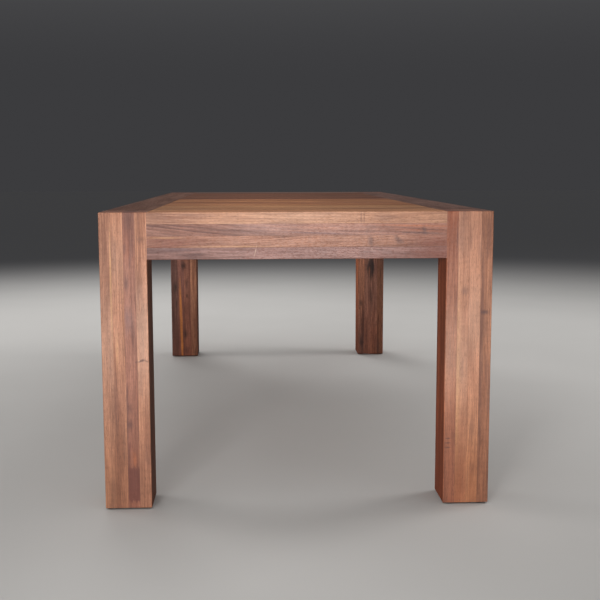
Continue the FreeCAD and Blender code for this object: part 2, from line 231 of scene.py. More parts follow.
# each trait of the wood, as noise: its size across the grain and along it, in metres, its fineness, and
# the levels of the noise between which it comes in
TRAITS = {
    "sway": (0.16, 0.5, 1.0, None),
    "frayed": (0.004, 0.03, 2.0, None),
    "drift": (0.05, 0.8, 2.0, None),
    "broad": (0.035, 0.45, 2.0, None),
    "fine": (0.0035, 0.11, 3.0, None),
    "fibres": (0.0012, 0.03, 3.0, None),
    "curl": (0.03, 0.008, 2.0, None),
    "cloud": (0.05, 0.16, 2.0, None),
    "stain": (0.02, 0.16, 2.0, (0.56, 0.72)),
    "flecks": (0.0024, 0.017, 1.0, (0.52, 0.7)),
    "pores": (0.0007, 0.009, 1.0, (0.57, 0.68)),
    "wear": (0.006, 0.04, 2.0, (0.35, 0.65)),
}
STREAK_LEVELS = (0.36, 0.64)
# how far off in the noise a trait may be drawn, and the years in which a log may have started to grow
DRAW_REACH = 50
FIRST_YEARS = (0, 99)
# how the grain runs, in metres, but for the lean, which is a slope, and the drift, counted in rings
SWAY = 0.03
LEAN = 0.02
PITH_DEPTH = (0.05, 0.12)
PITH_OFFSET = 0.03
RING_WIDTH = (0.0032, 0.0055)
RING_DRIFT = 2.0
PALEST_YEAR_SHARE = 0.2
# marks: how deep they go, in metres, and, times their size, how much they fray and how far they swirl
MARK_DEPTH = 0.03
MARK_FRAY = 0.6
SWIRL_REACH = 2.4
# the distances, in metres, over which a glue line, a worn edge and the painted shade near the floor fade
# out
GLUE_LINE = (0.0002, 0.0007)
WORN_BAND = (0.0005, 0.0045)
FOOT_SHADE_FADE = (0.06, 0.36)
# how strongly flecks, pores and glue hide the wood, and how much paler it is where it is worn
FLECK_COVER = 0.24
PORE_COVER = 0.45
GLUE_COVER = 0.4
WORN_GAIN = 0.22
# how far fibres, curl and clouds make the wood darker and paler
FIBRE_SWING = 0.24
CURL_SWING = 0.14
CLOUD_SWING = 0.28
# the roughness of satin oil, what is added on a dulled face, and the depth of the open grain
SATIN = 0.35
DULLED = 0.6
GRAIN_DEPTH = 0.0004
# how squarely a face has to look along an axis to count as looking that way
SQUARELY = (0.6, 0.9)
# the planes of the front of the table and of the near faces of its back legs
FRONT = cad_box[0][1]
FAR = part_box("back_left_leg_stave_1")[0].y


@dataclass(frozen=True)
class Mark:
    """A knot, stain, scar, painted sheen or painted shade on a face that looks to the front: a frayed
    ellipse.
    """

    x: float  # its middle
    z: float
    half_width: float
    half_height: float
    cover: tuple  # its colour
    strength: float
    swirl: float = 0.0  # how far it pushes the rings aside
    tilt: float = 0.0  # in radians
    face: float = FRONT  # the plane of the face that it is on
    core: float = 0.0  # the part of its size that is at full strength


@dataclass(frozen=True)
class Figure:
    """How the wood of one board is grown and toned, and what painted light and shade it carries. None
    leaves a trait to the board's own luck.
    """

    pith: tuple = None  # the heart of the log, from the middle of the board along the stack and across
    lean: float = None  # the slope of the grain off the line of the board
    bow: float = 0.0  # how that slope changes along the board
    ring: float = None  # the width of a year's growth
    bold: float = 0.5  # how strongly late wood shows
    contrast: float = 1.0  # how far streaks and flecks differ from the rest
    stained: float = 0.3  # how strongly stains show
    tint: tuple = (1.0, 1.0, 1.0)  # the strength of each channel, and so in the next two
    # foot: painted shade, darker and warmer towards the floor, where the light falls off
    foot: tuple = None  # near the floor
    # flat: painted shade on the faces that look along the stack, and painted light where its channels are
    # above 1
    flat: tuple = None  # on the faces that look along the stack, which are dulled too
    marks: tuple = ()


class Board:
    """One board, cut from its own log: its box, its axes, its finish and its luck."""

    def __init__(self, name, grain, stack, gloss):
        self.dice = random.Random(name)
        self.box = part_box(name)
        self.run = AXES.index(grain)
        self.thick = AXES.index(stack)
        (self.wide,) = {0, 1, 2} - {self.run, self.thick}
        self.material, self.shader, self.place, self.facing = new_finish(name + "_walnut", gloss)
        self.local = self.place.vector("SUBTRACT", (self.box[0] + self.box[1]) / 2)

    def across(self, value):
        """A vector with one value on both axes across the grain."""
        return tuple(0.0 if axis == self.run else value for axis in range(3))

    def draw(self, trait, vector):
        """A trait of the wood at a point: noise in patches, drawn out along the grain."""
        across, along, detail, levels = TRAITS[trait]
        size = [across] * 3
        size[self.run] = along
        shift = [self.dice.uniform(-DRAW_REACH, DRAW_REACH) for _ in AXES]
        spread = vector.vector("MULTIPLY_ADD", tuple(1 / length for length in size), tuple(shift))
        settings = {"Vector": spread, "Scale": 1.0, "Detail": detail}
        noise = spread.node("ShaderNodeTexNoise", {}, settings)
        return noise.between(*levels) if levels else noise

    def flow(self, figure):
        """The place of a point in the log, as the grain sways, leans and bows."""
        sway = self.draw("sway", self.local).also("Color")
        bent = sway.vector("MULTIPLY_ADD", self.across(SWAY), self.local)
        lean = self.dice.uniform(-LEAN, LEAN) if figure.lean is None else figure.lean
        reach = self.local.part(self.run)
        slant = reach * (lean + figure.bow * reach)
        return bent.vector("ADD", slant.node("ShaderNodeCombineXYZ", {}, {self.thick: slant}))

    def from_pith(self, flow, pith):
        """How far a point is from the heart of the log."""
        if pith is None:
            side = self.dice.choice((-1, 1))
            pith = side * self.dice.uniform(*PITH_DEPTH), self.dice.uniform(-PITH_OFFSET, PITH_OFFSET)
        heart = [0.0] * 3
        heart[self.thick] = -pith[0]
        heart[self.wide] = -pith[1]
        return flow.vector("MULTIPLY_ADD", self.across(1.0), tuple(heart)).vector("LENGTH")

    def spots(self, flow, radius, marks):
        """How strongly each mark shows at a point, and the radius of the rings pushed aside by marks."""
        frayed = MARK_FRAY * (self.draw("frayed", flow) - 0.5) if marks else None
        strengths = []
        for mark in marks:
            shape = {
                "Vector": self.place,
                "Location": (mark.x, mark.face, mark.z),
                "Rotation": (0.0, mark.tilt, 0.0),
                "Scale": (mark.half_width, MARK_DEPTH, mark.half_height),
            }
            within = self.place.node("ShaderNodeMapping", {"vector_type": "TEXTURE"}, shape)
            distance = within.vector("LENGTH")
            if mark.swirl:
                radius = radius + mark.swirl * (1 - distance.between(0.0, SWIRL_REACH))
            strengths.append(mark.strength * (1 - (distance + frayed).between(mark.core, 1.0)))
        return strengths, radius

    def years(self, flow, radius, ring):
        """How far a point is through its year's growth, and how dark the late wood is there."""
        width = self.dice.uniform(*RING_WIDTH) if ring is None else ring
        phase = radius * (1 / width) + RING_DRIFT * self.draw("drift", flow)
        count = phase.math("FLOOR", phase)
        rise = phase - count
        year = {"W": count + self.dice.uniform(*FIRST_YEARS)}
        vary = count.node("ShaderNodeTexWhiteNoise", {"noise_dimensions": "1D"}, year)
        return rise, rise ** 2.0 * (PALEST_YEAR_SHARE + (1 - PALEST_YEAR_SHARE) * vary)

    def facing_along(self, axis):
        """1 on the faces that look along an axis."""
        return abs(self.facing.part(axis)).between(*SQUARELY)

    def inside(self, axis, box):
        """How far a point is from the nearer of the two faces of a box across an axis."""
        place = self.place.part(axis)
        return place.math("MINIMUM", place - box[0][axis], box[1][axis] - place)

    def worn(self, member):
        """How worn a point is: the long edges of the leg, rail or panel it is part of are, in patches."""
        sides = self.inside(self.thick, member)
        edge = sides.math("MAXIMUM", sides, self.inside(self.wide, member))
        return (1 - edge.between(*WORN_BAND)) * self.draw("wear", self.local)


def swing(noise, reach):
    """A factor that goes from as far below 1 to as far above it, as noise goes from 0 to 1."""
    return (1 - reach) + 2 * reach * noise


def walnut(name, grain, stack, shade, member, gloss, figure=Figure()):
    """Oiled walnut for one board of a member: growth rings round a pith outside the board, drawn-out
    fibres and pores, stains and knots, a glue line at each joint, paler worn edges, and the painted sheen
    and painted shade that its figure gives."""
    board = Board(name, grain, stack, gloss)
    flow = board.flow(figure)
    radius = board.from_pith(flow, figure.pith)
    strengths, radius = board.spots(flow, radius, figure.marks)
    rise, late_wood = board.years(flow, radius, figure.ring)
    broad = board.draw("broad", flow)
    fine = board.draw("fine", flow)
    streaks = (0.5 * broad + 0.5 * fine).between(*STREAK_LEVELS)
    fibres = board.draw("fibres", flow)
    curl = board.draw("curl", flow)
    cloud = board.draw("cloud", flow)
    stain = board.draw("stain", flow)
    flecks = board.draw("flecks", flow)
    pores = board.draw("pores", flow) * (1 - 0.5 * rise)

    middling = tinted(SHADES[shade], *figure.tint)
    light = tinted(middling, *(1 + figure.contrast * gain for gain in PALER))
    dark = tinted(middling, *(1 - figure.contrast * loss for loss in DARKER))
    late = tinted(middling, *LATE_WOOD_SHARES)
    wood = streaks.over(light, dark)
    wood = (figure.bold * late_wood).over(wood, late)
    wood = (FLECK_COVER * figure.contrast * flecks).over(wood, late)
    wood = (figure.stained * stain).over(wood, STAIN)
    # marks: knots, stains and scars, and patches of painted sheen and painted shade
    for mark, strength in zip(figure.marks, strengths):
        wood = (strength * (0.5 + fine)).over(wood, mark.cover)
    wood = wood.times(swing(fibres, FIBRE_SWING) * swing(curl, CURL_SWING) * swing(cloud, CLOUD_SWING))
    wood = (PORE_COVER * pores).over(wood, PORE)

    on_flat = board.facing_along(board.thick)
    # painted shade, and painted light where the tint is above 1, on the faces that look along the stack
    if figure.flat:
        wood = on_flat.over(wood, wood.vector("MULTIPLY", figure.flat))
    # painted shade: darker and warmer towards the floor, where the light falls off
    if figure.foot:
        painted_floor_shade = 1 - board.place.part(UP).between(*FOOT_SHADE_FADE)
        wood = painted_floor_shade.over(wood, wood.vector("MULTIPLY", figure.foot))
    seam = (1 - board.inside(board.thick, board.box).between(*GLUE_LINE)) * (1 - on_flat)
    wood = (GLUE_COVER * seam).over(wood, GLUE)
    sawn = tuple(share / strength for share, strength in zip(END_GRAIN_SHARES, figure.tint))
    wood = board.facing_along(board.run).over(wood, wood.vector("MULTIPLY", sawn))
    worn = board.worn(member)
    wood.times(1 + WORN_GAIN * worn).feed(board.shader, "Base Color")

    roughness = SATIN + 0.08 * streaks + 0.16 * pores - 0.08 * worn
    if figure.flat:
        roughness = roughness + DULLED * on_flat
    roughness.feed(board.shader, "Roughness")
    open_grain = 0.5 * fibres + 0.3 * late_wood - 0.9 * pores
    raise_grain(open_grain, board.shader, GRAIN_DEPTH, strength=0.3)
    return board.material


# the far legs shine less than the near ones
LEG_GLOSS = {"front": 0.5, "back": 0.25}
STAVE_SHADES = {
    "front_left": ("rose", "tan", "plum", "tan"),
    "front_right": ("umber", "tan", "tan", "red"),
    "back_left": ("plum", "red", "plum", "red"),
    "back_right": ("umber", "plum", "plum", "umber"),
}
STAVE_FIGURES = {
    "front_left_leg_stave_1": Figure(
        tint=(1.03, 1.07, 1.08),
        foot=(0.81, 0.75, 0.67),
        marks=(
            Mark(-0.4675, 0.58, 0.004, 0.2, GOLD, 0.6, core=0.4),
            Mark(-0.48, 0.67, 0.012, 0.09, STAIN, 0.2),
            # painted sheen in the middle of the leg
            Mark(-0.48, 0.44, 0.04, 0.2, PAINTED_SHEEN, 0.18),
        ),
    ),
    "front_left_leg_stave_2": Figure(
        foot=(0.70, 0.64, 0.60),
        marks=(
            Mark(-0.4556, 0.416, 0.005, 0.07, GOLD, 0.55),
            Mark(-0.461, 0.235, 0.006, 0.12, STAIN, 0.4),
            Mark(-0.443, 0.19, 0.006, 0.08, STAIN, 0.35),
            # painted sheen high on the leg
            Mark(-0.45, 0.64, 0.05, 0.13, PAINTED_SHEEN, 0.16),
            # painted shade, darker on the lower part of the leg
            Mark(-0.45, 0.29, 0.05, 0.11, PLUM, 0.24),
        ),
    ),
    "front_left_leg_stave_3": Figure(
        tint=(1.04, 1.05, 1.03),
        stained=0.5,
        marks=(
            Mark(-0.4228, 0.735, 0.03, 0.09, STAIN, 0.65),
            Mark(-0.4228, 0.69, 0.05, 0.1, RUST, 0.25),
            Mark(-0.4335, 0.672, 0.01, 0.022, STAIN, 0.45, swirl=0.003),
            Mark(-0.431, 0.583, 0.014, 0.026, STAIN, 0.45, swirl=0.004),
            Mark(-0.4265, 0.495, 0.02, 0.055, SLATE, 0.55),
            Mark(-0.4275, 0.266, 0.01, 0.02, STAIN, 0.4, swirl=0.003),
            Mark(-0.4295, 0.223, 0.015, 0.02, STAIN, 0.6, swirl=0.005),
            Mark(-0.4286, 0.166, 0.008, 0.018, PLUM, 0.5, swirl=0.003),
            Mark(-0.417, 0.13, 0.008, 0.03, EMBER, 0.6),
            Mark(-0.4085, 0.385, 0.007, 0.0035, STAIN, 0.5, tilt=-0.2),
            Mark(-0.421, 0.066, 0.05, 0.05, PLUM, 0.9, core=0.78),
            Mark(-0.432, 0.07, 0.008, 0.04, STAIN, 0.3),
            Mark(-0.421, 0.09, 0.05, 0.11, RUST, 0.2, core=0.5),
        ),
    ),
    "front_left_leg_stave_4": Figure(
        # painted shade on the inner face
        flat=(0.32, 0.24, 0.20),
        foot=(0.84, 0.82, 0.82),
        marks=(
            # painted sheen in the middle of the leg
            Mark(-0.39, 0.44, 0.04, 0.22, PAINTED_SHEEN, 0.34),
            Mark(-0.393, 0.389, 0.012, 0.0055, STAIN, 0.75, swirl=0.004, tilt=-0.2),
            Mark(-0.4, 0.3862, 0.013, 0.0035, STAIN, 0.6, tilt=-0.25),
            Mark(-0.383, 0.3868, 0.008, 0.0035, STAIN, 0.5, tilt=0.35),
            Mark(-0.4021, 0.388, 0.004, 0.003, SCAR, 0.5),
            Mark(-0.3926, 0.6934, 0.02, 0.012, STAIN, 0.3),
        ),
    ),
    "front_right_leg_stave_1": Figure(
        tint=(1.24, 1.30, 1.27),
        foot=(0.74, 0.67, 0.62),
        marks=(
            Mark(0.47, 0.42, 0.006, 0.46, STAIN, 0.35, core=0.3),
            Mark(0.476, 0.505, 0.02, 0.009, STAIN, 0.75, swirl=0.004),
        ),
    ),
    "front_right_leg_stave_2": Figure(
        bold=0.35,
        contrast=0.75,
        foot=(0.95, 0.87, 0.70),
        marks=(
            Mark(0.453, 0.095, 0.014, 0.03, STAIN, 0.3),
            # painted shade, warmer near the floor
            Mark(0.45, 0.05, 0.05, 0.15, RUST, 0.25),
            # painted sheen in the middle of the leg
            Mark(0.45, 0.48, 0.05, 0.15, PAINTED_SHEEN, 0.22),
            # painted shade, darker towards the top
            Mark(0.45, 0.72, 0.05, 0.13, PLUM, 0.14),
            Mark(0.44, 0.06, 0.006, 0.06, STAIN, 0.3),
        ),
    ),
    "front_right_leg_stave_3": Figure(
        tint=(1.04, 1.05, 1.05),
        bold=0.3,
        contrast=0.75,
        foot=(0.87, 0.75, 0.62),
        marks=(
            Mark(0.4095, 0.34, 0.012, 0.34, GOLD, 0.5),
            Mark(0.4251, 0.5596, 0.014, 0.018, STAIN, 0.5, swirl=0.003),
            Mark(0.4285, 0.05, 0.006, 0.055, STAIN, 0.4),
            # painted shade, warmer near the floor
            Mark(0.42, 0.05, 0.05, 0.15, RUST, 0.3),
            # painted sheen in the middle of the leg
            Mark(0.42, 0.37, 0.05, 0.19, PAINTED_SHEEN, 0.2),
            # painted shade, darker towards the top
            Mark(0.42, 0.72, 0.05, 0.13, PLUM, 0.2),
        ),
    ),
    "front_right_leg_stave_4": Figure(
        # painted shade, darker and redder, on the inner face
        flat=(0.78, 0.55, 0.42),
        foot=(0.76, 0.69, 0.66),
        marks=(
            # painted sheen in the middle of the leg
            Mark(0.39, 0.39, 0.04, 0.2, PAINTED_SHEEN, 0.24),
            Mark(0.39, 0.73, 0.04, 0.14, RUST, 0.8),
            Mark(0.39, 0.7, 0.04, 0.12, PLUM, 0.22),
            Mark(0.4035, 0.7, 0.004, 0.07, STAIN, 0.5),
            *(Mark(0.388, z, 0.011, 0.0032, STAIN, 0.7) for z in (0.152, 0.164, 0.176)),
        ),
    ),
    "back_left_leg_stave_1": Figure(
        tint=(0.67, 0.73, 0.83),
        foot=(0.60, 0.49, 0.42),
        bold=0.9,
        contrast=1.4,
        marks=(
            Mark(-0.474, 0.325, 0.018, 0.045, KNOT, 0.85, swirl=0.006, face=FAR),
            Mark(-0.472, 0.25, 0.008, 0.03, KNOT, 0.5, face=FAR),
        ),
    ),
    "back_left_leg_stave_2": Figure(
        tint=(0.90, 0.97, 1.30),
        bold=0.8,
        contrast=1.4,
        foot=(0.80, 0.72, 0.66),
        marks=(
            Mark(-0.451, 0.16, 0.008, 0.25, SAPWOOD, 0.9, tilt=-0.019, face=FAR, core=0.5),
            Mark(-0.438, 0.4258, 0.016, 0.024, KNOT, 0.75, swirl=0.008, face=FAR),
            Mark(-0.435, 0.107, 0.012, 0.035, KNOT, 0.6, swirl=0.004, face=FAR),
        ),
    ),
    "back_left_leg_stave_3": Figure(
        tint=(1.14, 1.08, 1.02),
        bold=0.8,
        contrast=1.4,
        foot=(0.78, 0.70, 0.64),
        marks=(
            Mark(-0.4354, 0.4258, 0.018, 0.026, KNOT, 0.75, swirl=0.008, face=FAR),
            Mark(-0.4227, 0.345, 0.01, 0.035, KNOT, 0.4, face=FAR),
            Mark(-0.4227, 0.2856, 0.007, 0.016, KNOT, 0.7, swirl=0.004, face=FAR),
            Mark(-0.431, 0.107, 0.012, 0.035, KNOT, 0.6, swirl=0.004, face=FAR),
            Mark(-0.429, 0.03, 0.02, 0.03, PLUM, 0.6, face=FAR),
        ),
    ),
    "back_left_leg_stave_4": Figure(
        tint=(1.36, 1.60, 1.68),
        foot=(0.60, 0.54, 0.50),
        # painted shade on the inner face
        flat=(0.36, 0.28, 0.24),
        bold=0.8,
        contrast=1.3,
    ),
    "back_right_leg_stave_1": Figure(
        tint=(0.61, 0.54, 0.48),
        foot=(0.84, 0.78, 0.72),
        bold=0.8,
        contrast=2.0,
    ),
    "back_right_leg_stave_2": Figure(
        tint=(1.25, 1.36, 1.34),
        foot=(0.60, 0.46, 0.37),
        bold=0.9,
        contrast=2.0,
        marks=(
            Mark(0.438, 0.415, 0.022, 0.07, KNOT, 0.9, swirl=0.014, face=FAR, core=0.35),
            Mark(0.439, 0.27, 0.012, 0.08, KNOT, 0.5, face=FAR),
        ),
    ),
    "back_right_leg_stave_3": Figure(
        tint=(0.98, 0.99, 0.96),
        foot=(0.62, 0.52, 0.46),
        bold=0.9,
        contrast=2.0,
        marks=(
            Mark(0.436, 0.415, 0.024, 0.075, KNOT, 0.9, swirl=0.014, face=FAR, core=0.35),
            Mark(0.429, 0.395, 0.006, 0.03, EMBER, 0.5, face=FAR),
            Mark(0.435, 0.29, 0.012, 0.06, KNOT, 0.5, face=FAR),
        ),
    ),
    "back_right_leg_stave_4": Figure(
        tint=(1.33, 1.28, 1.28),
        foot=(0.41, 0.38, 0.42),
        # painted light on the inner face
        flat=(1.15, 0.95, 0.80),
        bold=0.8,
        contrast=2.0,
        marks=(
            Mark(0.3902, 0.2462, 0.014, 0.026, KNOT, 0.7, swirl=0.004, face=FAR),
            Mark(0.393, 0.062, 0.014, 0.05, KNOT, 0.7, face=FAR),
        ),
    ),
}
for end in ENDS:
    for side in SIDES:
        leg = f"{end}_{side}"
        staves = [f"{leg}_leg_stave_{number}" for number in LAMINATIONS]
        member = around(staves)
        for stave, shade in zip(staves, STAVE_SHADES[leg]):
            wood = walnut(stave, "z", "x", shade, member, LEG_GLOSS[end], STAVE_FIGURES[stave])
            dress(nodes[stave], wood)

# Threaded inserts: brass sleeves, turned from bar and pressed into the foot of each leg. The levelling
# feet screw into them.
BRASS = colour(190, 152, 84)
TARNISH = colour(142, 108, 62)
TARNISH_SIZE = (0.006, 0.006, 0.006)
TURNING_SIZE = (0.02, 0.02, 0.0004)
TURNING_DEPTH = 0.0002


def patches(place, size, detail=2.0):
    """Noise in patches of a size in metres along each axis."""
    spread = place.vector("MULTIPLY", tuple(1 / length for length in size))
    return spread.node("ShaderNodeTexNoise", {}, {"Vector": spread, "Scale": 1.0, "Detail": detail})


brass, brass_shader, brass_place, _ = new_finish("turned_brass", gloss=0.5)
brass_shader.inputs["Metallic"].default_value = 1.0
tarnish = patches(brass_place, TARNISH_SIZE).between(0.4, 0.65)
turning = patches(brass_place, TURNING_SIZE, detail=1.0)
tarnish.over(BRASS, TARNISH).feed(brass_shader, "Base Color")
(0.28 + 0.25 * tarnish + 0.1 * turning).feed(brass_shader, "Roughness")
raise_grain(turning, brass_shader, TURNING_DEPTH, strength=0.3)
dress(nodes["threaded_inserts"], brass)

# Loose tenons: planed beech slips glued into mortises, two at each end of each rail. They are hidden
# once the frame is closed.
BEECH_LIGHT = colour(216, 178, 138)
BEECH_DARK = colour(188, 146, 106)
BEECH_FLECK = colour(150, 108, 76)
BEECH_TONE_SIZE = (0.03, 0.03, 0.008)
BEECH_FLECK_SIZE = (0.003, 0.003, 0.0008)
BEECH_FLECK_DEPTH = 0.0002

beech, beech_shader, beech_place, _ = new_finish("planed_beech", gloss=0.3)
beech_tone = patches(beech_place, BEECH_TONE_SIZE).between(0.35, 0.65)
beech_flecks = patches(beech_place, BEECH_FLECK_SIZE, detail=1.0).between(0.6, 0.7)
beech_wood = (0.5 * beech_flecks).over(beech_tone.over(BEECH_LIGHT, BEECH_DARK), BEECH_FLECK)
beech_wood.feed(beech_shader, "Base Color")
(0.6 + 0.15 * beech_flecks).feed(beech_shader, "Roughness")
raise_grain(1 - beech_flecks, beech_shader, BEECH_FLECK_DEPTH, strength=0.25)
dress(nodes["loose_tenons"], beech)

# Rails: four walnut layers each, glued one on the other, and held between the legs by the tenons, flush
# with them. The front rail is light on top and purplish below, and the others have a dark top layer. The
# side rails are duller.
RAIL_GRAIN = {"front": "x", "back": "x", "left": "y", "right": "y"}
RAIL_GLOSS = {"x": 0.5, "y": 0.05}
RAIL_SHADES = {
    "front": ("straw", "mauve", "brown", "lilac"),
    "back": ("dusk", "brown", "mauve", "lilac"),
    "left": ("smoke", "brown", "umber", "plum"),
    "right": ("smoke", "umber", "brown", "plum"),
}
RAIL_FIGURES = {
    "front_rail_layer_1": Figure(
        lean=0.0,
        bold=0.35,
        contrast=0.8,
        # painted shade on the top face
        flat=(0.67, 0.62, 0.53),
        marks=(
            Mark(0.1595, 0.748, 0.004, 0.03, STAIN, 0.45),
            Mark(0.167, 0.748, 0.0035, 0.03, STAIN, 0.4),
            Mark(-0.34, 0.745, 0.16, 0.05, PLUM, 0.42),
            # painted sheen in the middle of the rail
            Mark(0.0, 0.747, 0.22, 0.04, PAINTED_SHEEN, 0.2),
        ),
    ),
    "front_rail_layer_2": Figure(
        pith=(0.11, 0.0),
        lean=0.05,
        bow=-0.08,
        ring=0.0085,
        bold=1.2,
        marks=(
            Mark(0.33, 0.718, 0.16, 0.03, RUST, 0.5),
            # painted grey sheen in the middle of the layer
            Mark(-0.09, 0.7176, 0.13, 0.03, PAINTED_GREY_SHEEN, 0.22),
            Mark(-0.29, 0.727, 0.11, 0.0035, STAIN, 0.5, tilt=0.05),
            Mark(-0.15, 0.716, 0.12, 0.003, STAIN, 0.55, tilt=0.08),
            Mark(0.06, 0.709, 0.13, 0.0045, SLATE, 0.7, tilt=0.03),
            Mark(0.29, 0.7265, 0.15, 0.004, EMBER, 0.6, tilt=0.03),
            Mark(0.33, 0.717, 0.11, 0.003, STAIN, 0.6, tilt=0.06),
            Mark(0.31, 0.708, 0.12, 0.005, STAIN, 0.75, tilt=0.03),
            Mark(0.3192, 0.714, 0.009, 0.022, STAIN, 0.6, swirl=0.003, tilt=-0.1),
        ),
    ),
    "front_rail_layer_3": Figure(
        lean=-0.04,
        bow=0.05,
        bold=0.4,
        tint=(0.9, 0.9, 0.9),
        marks=(
            Mark(0.36, 0.685, 0.14, 0.04, PLUM, 0.68),
            Mark(0.36, 0.685, 0.14, 0.04, RUST, 0.26),
            Mark(-0.33, 0.685, 0.16, 0.04, PLUM, 0.58),
            Mark(-0.33, 0.685, 0.16, 0.04, RUST, 0.26),
            Mark(-0.33, 0.6985, 0.07, 0.004, GOLD, 0.5),
            Mark(-0.17, 0.676, 0.18, 0.004, GOLD, 0.45),
            Mark(0.1844, 0.688, 0.012, 0.024, STAIN, 0.6, swirl=0.003, tilt=-0.15),
            Mark(0.25, 0.695, 0.01, 0.019, STAIN, 0.6, swirl=0.003, tilt=-0.3),
            Mark(0.258, 0.688, 0.017, 0.01, STAIN, 0.55, tilt=0.5),
            Mark(-0.1035, 0.674, 0.0016, 0.007, SCAR, 0.35, tilt=0.24),
        ),
    ),
    "front_rail_layer_4": Figure(
        stained=0.45,
        marks=(
            Mark(-0.1065, 0.6615, 0.0017, 0.019, SCAR, 0.5, tilt=0.24),
            Mark(0.187, 0.667, 0.0014, 0.006, SCAR, 0.45, tilt=-0.3),
            Mark(-0.29, 0.668, 0.09, 0.006, SLATE, 0.5),
            Mark(0.35, 0.658, 0.14, 0.04, PLUM, 0.62),
            Mark(0.35, 0.658, 0.14, 0.04, RUST, 0.28),
        ),
    ),
    "left_rail_layer_1": Figure(tint=(0.94, 0.88, 0.82)),
    "right_rail_layer_1": Figure(tint=(0.92, 0.94, 1.00)),
}
for rail, grain in RAIL_GRAIN.items():
    layers = [f"{rail}_rail_layer_{number}" for number in LAMINATIONS]
    member = around(layers)
    for layer, shade in zip(layers, RAIL_SHADES[rail]):
        figure = RAIL_FIGURES.get(layer, Figure())
        dress(nodes[layer], walnut(layer, grain, "z", shade, member, RAIL_GLOSS[grain], figure))

# Bearer and ledgers: plain walnut strips under the field. The bearer is stub-tenoned into the side
# rails under the joint of the two panels, and the ledgers are screwed to the inside of the rails.
END_LEDGERS = [f"{end}_ledger" for end in ENDS]
SIDE_LEDGERS = [f"{end}_{side}_ledger" for end in ENDS for side in SIDES]
UNDER_STRIPS = {"x": ["centre_bearer", *END_LEDGERS], "y": SIDE_LEDGERS}
STRIP_GLOSS = 0.2
for grain, strips in UNDER_STRIPS.items():
    for strip in strips:
        dress(nodes[strip], walnut(strip, grain, "z", "umber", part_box(strip), STRIP_GLOSS))

# Ledger screws: zinc-plated pan-head screws with a cross recess, driven level through the ledgers into
# the second layer of the rails.
ZINC = colour(186, 187, 184)
ZINC_DULL = colour(150, 150, 142)
ZINC_BLOOM_SIZE = (0.004, 0.004, 0.004)
ZINC_BLOOM_DEPTH = 0.0001
SCREW_SIZES = {
    "Length": 0.067,
    "Width": 0.0045,
    "Core Width": 0.0033,
    "Pitch": 0.0022,
    "Thread Length": 0.045,
    "Tip Length": 0.006,
    "Head Width": 0.010,
    "Head Height": 0.003,
}
SCREW_CORNERS = 12
# how much of the area of the head is gone at its crown, as its side curves in
HEAD_DOME_SHARE = 0.5
# the radius of the thread's section, as a share of the thread's height: it sinks into the core a little
SCREW_THREAD_SHARE = 0.72
# the cuts of the cross recess: their sides as shares of the head's width, and the levels of their
# middles as shares of its height
RECESS_SLIT_SHARE = 0.13
RECESS_ARM_SHARE = 0.52
RECESS_LEVEL_SHARES = (0.95, 0.9)
SCREWS_PER_SIDE_LEDGER = 5
SCREWS_PER_END_LEDGER = 4

zinc, zinc_shader, zinc_place, _ = new_finish("zinc_plate", gloss=0.5)
zinc_shader.inputs["Metallic"].default_value = 1.0
bloom = patches(zinc_place, ZINC_BLOOM_SIZE, detail=3.0).between(0.4, 0.65)
bloom.over(ZINC, ZINC_DULL).feed(zinc_shader, "Base Color")
(0.3 + 0.22 * bloom).feed(zinc_shader, "Roughness")
raise_grain(bloom, zinc_shader, ZINC_BLOOM_DEPTH, strength=0.2)

scene = bpy.context.scene


def new_tree(name, sizes):
    """A Geometry Nodes tree with a named input for each size, and what its inputs read."""
    tree = bpy.data.node_groups.new(name, "GeometryNodeTree")
    tree.interface.new_socket("Geometry", in_out="INPUT", socket_type="NodeSocketGeometry")
    for size in sizes:
        tree.interface.new_socket(size, in_out="INPUT", socket_type="NodeSocketFloat")
    tree.interface.new_socket("Geometry", in_out="OUTPUT", socket_type="NodeSocketGeometry")
    sockets = tree.nodes.new("NodeGroupInput").outputs
    return tree, {socket.name: Reading(tree, socket) for socket in sockets if socket.name}


def join(*shapes):
    """Several shapes as one."""
    return shapes[0].node("GeometryNodeJoinGeometry", {}, {"Geometry": list(shapes)})


def lift(shape, height):
    """A shape, moved along its own axis."""
    offset = shape.node("ShaderNodeCombineXYZ", {}, {"Z": height})
    return shape.node("GeometryNodeTransform", {}, {"Geometry": shape, "Translation": offset})


def rod(start, width, length, corners, rings=1, fills=1):
    """A round bar that stands on the origin."""
    shape = {"Vertices": corners, "Side Segments": rings, "Fill Segments": fills}
    shape |= {"Radius": width / 2, "Depth": length}
    return lift(start.node("GeometryNodeMeshCylinder", {}, shape), length / 2)


def thread(start, width, pitch, length, ridge, corners):
    """The raised thread of a screw, from the origin up: a three-cornered ridge on a spiral."""
    reach = width / 2 - ridge
    turns = {"Resolution": corners, "Rotations": length / pitch, "Height": length}
    path = start.node("GeometryNodeCurveSpiral", {}, turns | {"Start Radius": reach, "End Radius": reach})
    edge = start.node("GeometryNodeCurvePrimitiveCircle", {}, {"Resolution": 3, "Radius": ridge})
    swept = {"Curve": path, "Profile Curve": edge, "Fill Caps": True}
    return start.node("GeometryNodeCurveToMesh", {}, swept)


def widen(shape, factor):
    """A shape with each of its points drawn in to its axis or out from it."""
    place = shape.node("GeometryNodeInputPosition", {}, {})
    spread = shape.node("ShaderNodeCombineXYZ", {}, {"X": factor, "Y": factor, "Z": 1.0})
    moved = {"Geometry": shape, "Position": place.vector("MULTIPLY", spread)}
    return shape.node("GeometryNodeSetPosition", {}, moved)


def coat(shape, material):
    """A shape in one material."""
    return shape.node("GeometryNodeSetMaterial", {}, {"Geometry": shape, "Material": material})


